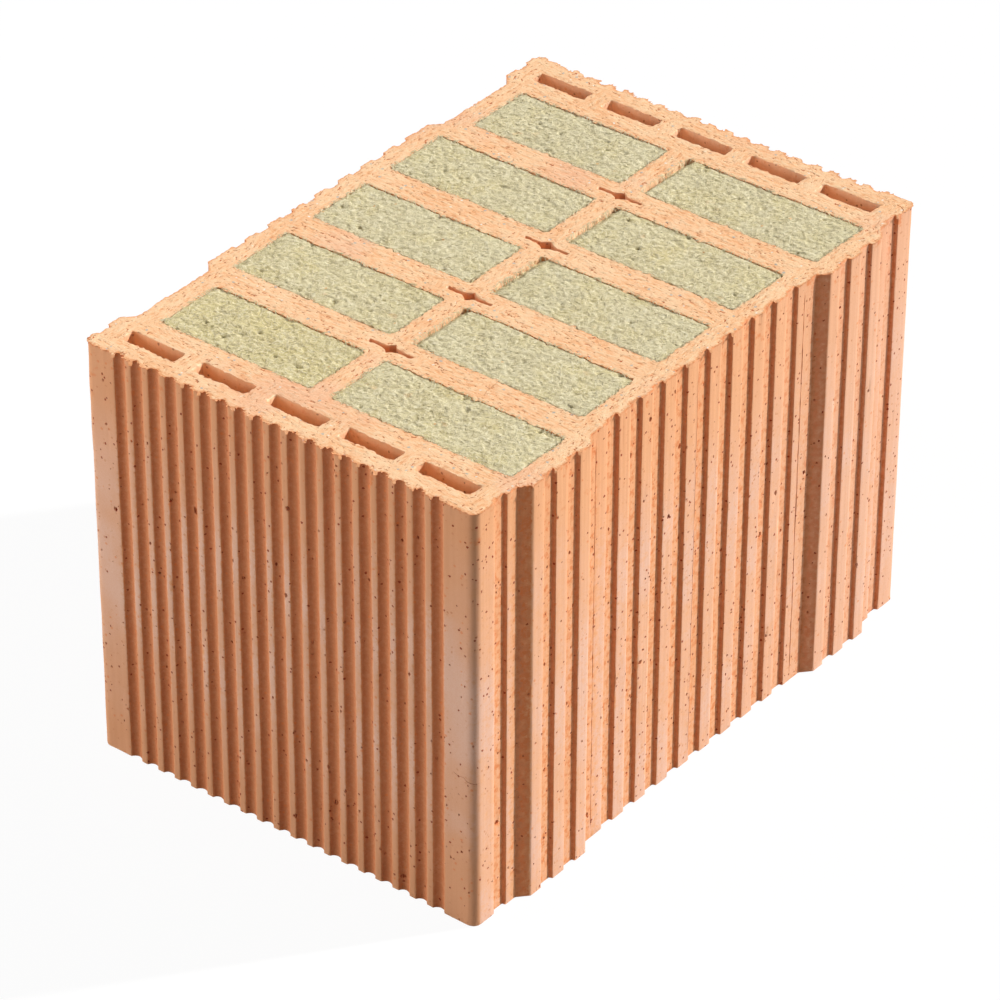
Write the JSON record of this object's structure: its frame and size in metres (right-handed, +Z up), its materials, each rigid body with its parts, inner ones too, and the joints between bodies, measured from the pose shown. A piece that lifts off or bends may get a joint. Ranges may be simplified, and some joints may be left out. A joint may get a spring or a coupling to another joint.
{
  "type": "hollow clay block with wool filling",
  "caption": "Vertically perforated fired clay wall block: wool-filled chambers, slits behind waved plaster faces, and ribbed joint faces with interlocking tongues and grooves.",
  "frame": {"origin": "middle of the bottom bed face, tongues included", "axes": "+Z up, +X along the wall towards the joint face with the tongues, +Y through the wall"},
  "size_m": [0.2536, 0.365, 0.249],
  "materials": {
    "fired_clay": "rough fired clay, unglazed",
    "mineral_wool": "matted mineral fibre"
  },
  "bodies": {
    "root": {"clay_block": "fired_clay", "wool_pad_left_1": "mineral_wool", "wool_pad_left_2": "mineral_wool", "wool_pad_left_3": "mineral_wool", "wool_pad_left_4": "mineral_wool", "wool_pad_left_5": "mineral_wool", "wool_pad_right_1": "mineral_wool", "wool_pad_right_2": "mineral_wool", "wool_pad_right_3": "mineral_wool", "wool_pad_right_4": "mineral_wool", "wool_pad_right_5": "mineral_wool"}
  },
  "joints": []
}
